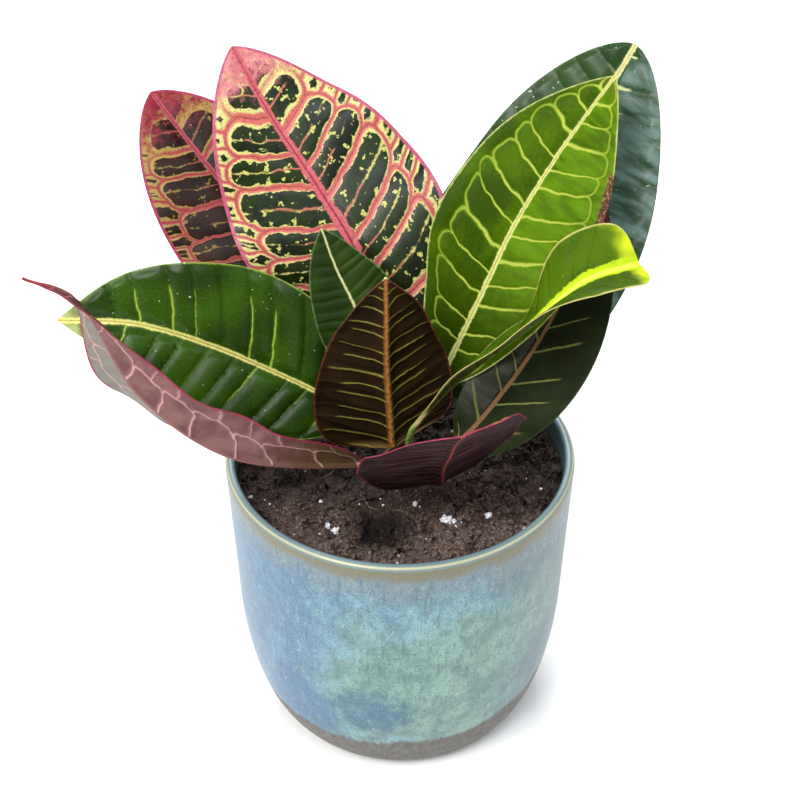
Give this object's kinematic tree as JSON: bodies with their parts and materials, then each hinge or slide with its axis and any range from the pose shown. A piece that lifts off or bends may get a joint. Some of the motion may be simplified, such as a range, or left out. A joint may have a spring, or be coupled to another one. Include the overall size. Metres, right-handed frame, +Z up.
{
  "type": "potted croton",
  "caption": "Young croton plant with broad variegated leaves, standing in soil in a rounded glazed ceramic pot.",
  "frame": {"origin": "centre of the pot's flat base", "axes": "+Z up along the pot's axis, -Y to the front that the picture shows, +X to its right"},
  "size_m": [0.2319, 0.16, 0.2715],
  "materials": {
    "glaze": "satin reactive glaze, blue green, speckled",
    "soil": "dark crumbly peat with white grains",
    "bark": "young grey-brown bark",
    "leaf_red": "glossy leaf, dark green cells with coral and yellow veins",
    "leaf_maroon": "glossy leaf, maroon cells with pink and yellow veins",
    "leaf_green": "glossy dark green leaf with a pale yellow midrib",
    "leaf_mauve": "matt mauve underside with pale pink veins",
    "leaf_brown": "dark brown leaf with olive yellow veins",
    "leaf_lime": "glossy yellow-green leaf with pale veins",
    "leaf_deep": "glossy blackish green leaf",
    "leaf_purple": "dark purple underside with a red margin"
  },
  "bodies": {
    "root": {"pot": "glaze", "soil": "soil", "stem": "bark", "leaf_01": "leaf_red", "leaf_02": "leaf_maroon", "leaf_03": "leaf_green", "leaf_04": "leaf_mauve", "leaf_05": "leaf_green", "leaf_06": "leaf_brown", "leaf_07": "leaf_lime", "leaf_08": "leaf_lime", "leaf_09": "leaf_deep", "leaf_10": "leaf_deep", "leaf_11": "leaf_purple"}
  },
  "joints": []
}
